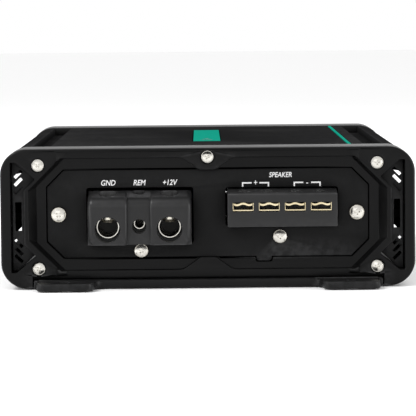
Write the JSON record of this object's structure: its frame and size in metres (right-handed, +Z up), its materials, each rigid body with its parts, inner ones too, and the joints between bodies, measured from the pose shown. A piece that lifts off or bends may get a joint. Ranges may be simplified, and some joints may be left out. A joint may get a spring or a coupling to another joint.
{
  "type": "car amplifier",
  "caption": "Compact car audio amplifier: finned heatsink body, two screwed end caps, power and speaker terminal blocks, four mounting tabs.",
  "frame": {"origin": "centre of the footprint, on the ground plane under the base plate", "axes": "+Z up, -Y towards the power and speaker terminals, +X to the right when facing them"},
  "size_m": [0.16, 0.222, 0.054],
  "materials": {
    "heatsink_coat": "satin black powder coat",
    "cap_coat": "satin black",
    "grille_plastic": "matt black",
    "panel_coat": "fine textured black",
    "base_coat": "satin black",
    "block_plastic": "matt dark grey",
    "nickel": "bright nickel",
    "set_screw_steel": "bright zinc",
    "brass": "plated",
    "accent_teal": "satin teal",
    "badge_metal": "teal anodised",
    "knob_plastic": "matt black",
    "board": "solder mask green",
    "winding": "enamelled copper",
    "component_black": "moulded black",
    "light_lens": "clear tint"
  },
  "bodies": {
    "chassis": {"heatsink": "heatsink_coat", "base_plate": "base_coat", "accent_strip": "accent_teal", "badge": "badge_metal", "front_end_cap": "cap_coat", "front_vent_grille_left": "grille_plastic", "front_panel_screw_left": "nickel", "front_vent_grille_right": "grille_plastic", "front_panel_screw_right": "nickel", "front_cap_screw_upper_left": "nickel", "front_cap_screw_upper_right": "nickel", "front_cap_screw_lower_left": "nickel", "front_cap_screw_lower_right": "nickel", "front_cap_screw_centre": "nickel", "front_panel": "panel_coat", "rear_end_cap": "cap_coat", "rear_vent_grille_left": "grille_plastic", "rear_panel_screw_left": "nickel", "rear_vent_grille_right": "grille_plastic", "rear_panel_screw_right": "nickel", "rear_cap_screw_upper_left": "nickel", "rear_cap_screw_upper_right": "nickel", "rear_cap_screw_lower_left": "nickel", "rear_cap_screw_lower_right": "nickel", "rear_cap_screw_centre": "nickel", "rear_panel": "panel_coat", "power_terminal_block": "block_plastic", "speaker_terminal_block": "block_plastic", "ground_wire_barrel": "nickel", "remote_wire_barrel": "nickel", "positive_wire_barrel": "nickel", "power_block_screw": "nickel", "speaker_block_screw": "nickel", "input_jack_block": "brass", "remote_level_socket": "component_black", "status_light": "light_lens", "circuit_board": "board", "power_transformer": "winding", "output_choke": "winding", "filter_capacitor_left": "component_black", "output_module_left": "component_black", "filter_capacitor_right": "component_black", "output_module_right": "component_black"},
    "ground_screw": {"ground_set_screw": "set_screw_steel"},
    "positive_screw": {"positive_set_screw": "set_screw_steel"},
    "remote_screw": {"remote_set_screw": "set_screw_steel"},
    "speaker_screw_1": {"speaker_screw_1": "nickel"},
    "speaker_clamp_1": {"speaker_clamp_1": "brass"},
    "speaker_screw_2": {"speaker_screw_2": "nickel"},
    "speaker_clamp_2": {"speaker_clamp_2": "brass"},
    "speaker_screw_3": {"speaker_screw_3": "nickel"},
    "speaker_clamp_3": {"speaker_clamp_3": "brass"},
    "speaker_screw_4": {"speaker_screw_4": "nickel"},
    "speaker_clamp_4": {"speaker_clamp_4": "brass"},
    "gain_control": {"gain_knob": "knob_plastic"},
    "crossover_control": {"crossover_knob": "knob_plastic"},
    "bass_boost_control": {"bass_boost_knob": "knob_plastic"},
    "filter_slider": {"filter_switch": "knob_plastic"}
  },
  "joints": [
    {"name": "ground_screw_travel", "type": "slide", "parent": "chassis", "child": "ground_screw", "axis": [0, 0, -1], "range_m": [-0.0024, 0.0026]},
    {"name": "positive_screw_travel", "type": "slide", "parent": "chassis", "child": "positive_screw", "axis": [0, 0, -1], "range_m": [-0.0024, 0.0026]},
    {"name": "remote_screw_travel", "type": "slide", "parent": "chassis", "child": "remote_screw", "axis": [0, 0, -1], "range_m": [0, 0.002]},
    {"name": "speaker_screw_turn_1", "type": "hinge", "parent": "chassis", "child": "speaker_screw_1", "pos_m": [0.0136, -0.0995, 0.034], "axis": [0, 0, -1], "range_deg": [0, 1010]},
    {"name": "speaker_clamp_lift_1", "type": "slide", "parent": "chassis", "child": "speaker_clamp_1", "axis": [0, 0, 1], "range_m": [0, 0.0014]},
    {"name": "speaker_screw_turn_2", "type": "hinge", "parent": "chassis", "child": "speaker_screw_2", "pos_m": [0.0236, -0.0995, 0.034], "axis": [0, 0, -1], "range_deg": [0, 1010]},
    {"name": "speaker_clamp_lift_2", "type": "slide", "parent": "chassis", "child": "speaker_clamp_2", "axis": [0, 0, 1], "range_m": [0, 0.0014]},
    {"name": "speaker_screw_turn_3", "type": "hinge", "parent": "chassis", "child": "speaker_screw_3", "pos_m": [0.0336, -0.0995, 0.034], "axis": [0, 0, -1], "range_deg": [0, 1010]},
    {"name": "speaker_clamp_lift_3", "type": "slide", "parent": "chassis", "child": "speaker_clamp_3", "axis": [0, 0, 1], "range_m": [0, 0.0014]},
    {"name": "speaker_screw_turn_4", "type": "hinge", "parent": "chassis", "child": "speaker_screw_4", "pos_m": [0.0436, -0.0995, 0.034], "axis": [0, 0, -1], "range_deg": [0, 1010]},
    {"name": "speaker_clamp_lift_4", "type": "slide", "parent": "chassis", "child": "speaker_clamp_4", "axis": [0, 0, 1], "range_m": [0, 0.0014]},
    {"name": "gain_turn", "type": "hinge", "parent": "chassis", "child": "gain_control", "pos_m": [0.036, 0.095, 0.033], "axis": [0, 1, 0], "range_deg": [-150, 150]},
    {"name": "crossover_turn", "type": "hinge", "parent": "chassis", "child": "crossover_control", "pos_m": [0.019, 0.095, 0.033], "axis": [0, 1, 0], "range_deg": [-150, 150]},
    {"name": "bass_boost_turn", "type": "hinge", "parent": "chassis", "child": "bass_boost_control", "pos_m": [0.002, 0.095, 0.033], "axis": [0, 1, 0], "range_deg": [-150, 150]},
    {"name": "filter_switch_travel", "type": "slide", "parent": "chassis", "child": "filter_slider", "axis": [1, 0, 0], "range_m": [-0.002, 0.002]}
  ],
  "couplings": [
    {"joint": "speaker_screw_turn_1", "follows": "speaker_clamp_lift_1", "rad_per_m": 12566},
    {"joint": "speaker_screw_turn_2", "follows": "speaker_clamp_lift_2", "rad_per_m": 12566},
    {"joint": "speaker_screw_turn_3", "follows": "speaker_clamp_lift_3", "rad_per_m": 12566},
    {"joint": "speaker_screw_turn_4", "follows": "speaker_clamp_lift_4", "rad_per_m": 12566}
  ]
}
